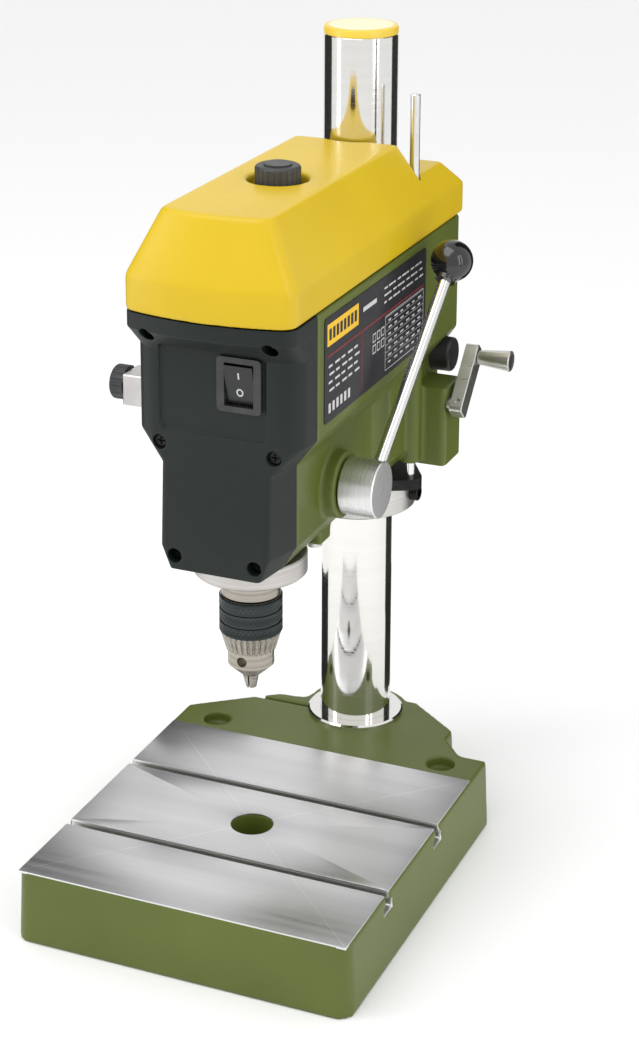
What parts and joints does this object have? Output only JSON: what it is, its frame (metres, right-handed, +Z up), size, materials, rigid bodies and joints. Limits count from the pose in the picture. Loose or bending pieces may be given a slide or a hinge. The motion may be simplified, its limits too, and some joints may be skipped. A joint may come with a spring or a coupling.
{
  "type": "drill press",
  "caption": "Bench drill press: T-slotted base, polished column, head raised by a crank, sprung quill with a feed lever and depth stop, keyed chuck and stepped belt drive under a cover.",
  "frame": {"origin": "on the bench, midway between the two bench-bolt holes of the base", "axes": "+Z up along the column, +X to the machine's right (crank and lever side), the operator stands at -Y"},
  "size_m": [0.206, 0.324, 0.491],
  "materials": {
    "green_casting": "satin",
    "green_head": "satin",
    "dark_cover": "satin",
    "yellow_cover": "gloss",
    "bright_steel": "polished",
    "turned_steel": "satin",
    "grey_steel": "satin",
    "black_steel": "satin",
    "aluminium": "satin",
    "black_knob": "satin",
    "black_ball": "gloss",
    "rubber_belt": "matte",
    "label_film": "satin"
  },
  "bodies": {
    "base": {"base_casting": "green_casting", "column": "bright_steel", "column_cap": "yellow_cover", "column_ring": "bright_steel", "column_clamp_screws": "black_steel"},
    "collar": {"column_collar": "grey_steel", "collar_screw": "black_steel"},
    "carrier": {"rack_carrier": "black_steel", "rack_rod": "bright_steel"},
    "head": {"head_casting": "green_head", "front_cover": "dark_cover", "cover_screws": "black_steel", "switch_frame": "black_knob", "label_plate": "label_film", "motor": "black_steel", "motor_screws": "turned_steel", "pulley_bearing": "turned_steel", "drive_belt": "rubber_belt", "spring_drum": "black_knob", "return_spring": "turned_steel", "guide_screw": "turned_steel", "cable_gland": "black_knob"},
    "crank": {"crank_shaft": "turned_steel", "crank_arm": "turned_steel", "crank_pin": "turned_steel"},
    "crank_grip": {"crank_handle": "turned_steel", "handle_plug": "black_knob"},
    "head_clamp": {"head_clamp_screw": "turned_steel", "head_clamp_knob": "black_knob"},
    "cover": {"belt_cover": "yellow_cover"},
    "cover_knob": {"belt_cover_knob": "black_knob"},
    "rocker": {"switch_rocker": "black_knob"},
    "quill_group": {"quill": "bright_steel", "quill_lower_bearing": "turned_steel", "quill_upper_bearing": "turned_steel", "quill_ring": "turned_steel", "stop_arm": "turned_steel", "stop_block": "aluminium"},
    "feed": {"feed_shaft": "turned_steel", "feed_hub": "aluminium", "lever_rod": "bright_steel", "lever_ball": "black_ball"},
    "depth_stop": {"stop_rod": "turned_steel"},
    "depth_stop_knob": {"stop_knob": "black_knob"},
    "pulley": {"spindle_pulley": "aluminium"},
    "rotor": {"motor_shaft": "turned_steel", "motor_pulley": "aluminium"},
    "spindle_group": {"spindle": "turned_steel", "chuck_body": "turned_steel"},
    "sleeve": {"chuck_sleeve": "black_steel"},
    "jaw_1": {"chuck_jaw_1": "turned_steel"},
    "jaw_2": {"chuck_jaw_2": "turned_steel"},
    "jaw_3": {"chuck_jaw_3": "turned_steel"}
  },
  "joints": [
    {"name": "collar_height", "type": "slide", "parent": "base", "child": "collar", "axis": [0, 0, 1], "range_m": [-0.06, 0.03]},
    {"name": "head_swivel", "type": "hinge", "parent": "collar", "child": "carrier", "pos_m": [0, 0.048, 0.21], "axis": [0, 0, 1], "range_deg": [-90, 90]},
    {"name": "head_lift", "type": "slide", "parent": "carrier", "child": "head", "axis": [0, 0, 1], "range_m": [0, 0.055]},
    {"name": "crank_turn", "type": "hinge", "parent": "head", "child": "crank", "pos_m": [0.067, 0.0465, 0.261], "axis": [1, 0, 0], "range_deg": [0, 394.5]},
    {"name": "crank_grip_spin", "type": "hinge", "parent": "crank", "child": "crank_grip", "pos_m": [0.08, 0.06956, 0.2853], "axis": [1, 0, 0], "continuous": true},
    {"name": "head_clamp_turn", "type": "hinge", "parent": "head", "child": "head_clamp", "pos_m": [0, 0.0805, 0.281], "axis": [1, 0, 0], "range_deg": [-90, 90]},
    {"name": "cover_lift", "type": "slide", "parent": "head", "child": "cover", "axis": [0, 0, 1], "range_m": [0, 0.06]},
    {"name": "cover_knob_turn", "type": "hinge", "parent": "cover", "child": "cover_knob", "pos_m": [0, -0.0755, 0.425], "axis": [0, 0, 1], "continuous": true},
    {"name": "switch_rock", "type": "hinge", "parent": "head", "child": "rocker", "pos_m": [0.014, -0.1569, 0.332], "axis": [1, 0, 0], "range_deg": [-21.6, 0]},
    {"name": "quill_feed", "type": "slide", "parent": "head", "child": "quill_group", "axis": [0, 0, -1], "range_m": [0, 0.063], "stiffness_N_per_m": 317, "springref_m": -0.08},
    {"name": "lever_turn", "type": "hinge", "parent": "head", "child": "feed", "pos_m": [0, -0.0858, 0.254], "axis": [1, 0, 0], "range_deg": [0, 267.5]},
    {"name": "stop_rod_slide", "type": "slide", "parent": "quill_group", "child": "depth_stop", "axis": [0, 0, 1], "range_m": [-0.045, 0]},
    {"name": "stop_knob_turn", "type": "hinge", "parent": "quill_group", "child": "depth_stop_knob", "pos_m": [-0.078, -0.1165, 0.308], "axis": [1, 0, 0], "continuous": true},
    {"name": "spindle_turn", "type": "hinge", "parent": "quill_group", "child": "spindle_group", "pos_m": [0, -0.1145, 0.2], "axis": [0, 0, 1], "continuous": true},
    {"name": "pulley_turn", "type": "hinge", "parent": "head", "child": "pulley", "pos_m": [0, -0.1145, 0.38], "axis": [0, 0, 1], "continuous": true},
    {"name": "motor_turn", "type": "hinge", "parent": "head", "child": "rotor", "pos_m": [0, -0.0265, 0.38], "axis": [0, 0, 1], "continuous": true},
    {"name": "chuck_sleeve_turn", "type": "hinge", "parent": "spindle_group", "child": "sleeve", "pos_m": [0, -0.1145, 0.175], "axis": [0, 0, 1], "range_deg": [0, 3240]},
    {"name": "jaw_1_grip", "type": "slide", "parent": "spindle_group", "child": "jaw_1", "axis": [0, 0.2588, 0.9659], "range_m": [0, 0.0136]},
    {"name": "jaw_2_grip", "type": "slide", "parent": "spindle_group", "child": "jaw_2", "axis": [-0.2241, -0.1294, 0.9659], "range_m": [0, 0.0136]},
    {"name": "jaw_3_grip", "type": "slide", "parent": "spindle_group", "child": "jaw_3", "axis": [0.2241, -0.1294, 0.9659], "range_m": [0, 0.0136]}
  ],
  "couplings": [
    {"joint": "crank_turn", "follows": "head_lift", "rad_per_m": 125},
    {"joint": "lever_turn", "follows": "quill_feed", "rad_per_m": 74.074},
    {"joint": "pulley_turn", "follows": "spindle_turn", "ratio": 1},
    {"joint": "motor_turn", "follows": "spindle_turn", "ratio": 1.2},
    {"joint": "jaw_1_grip", "follows": "chuck_sleeve_turn", "m_per_rad": 0.000239},
    {"joint": "jaw_2_grip", "follows": "chuck_sleeve_turn", "m_per_rad": 0.000239},
    {"joint": "jaw_3_grip", "follows": "chuck_sleeve_turn", "m_per_rad": 0.000239}
  ]
}
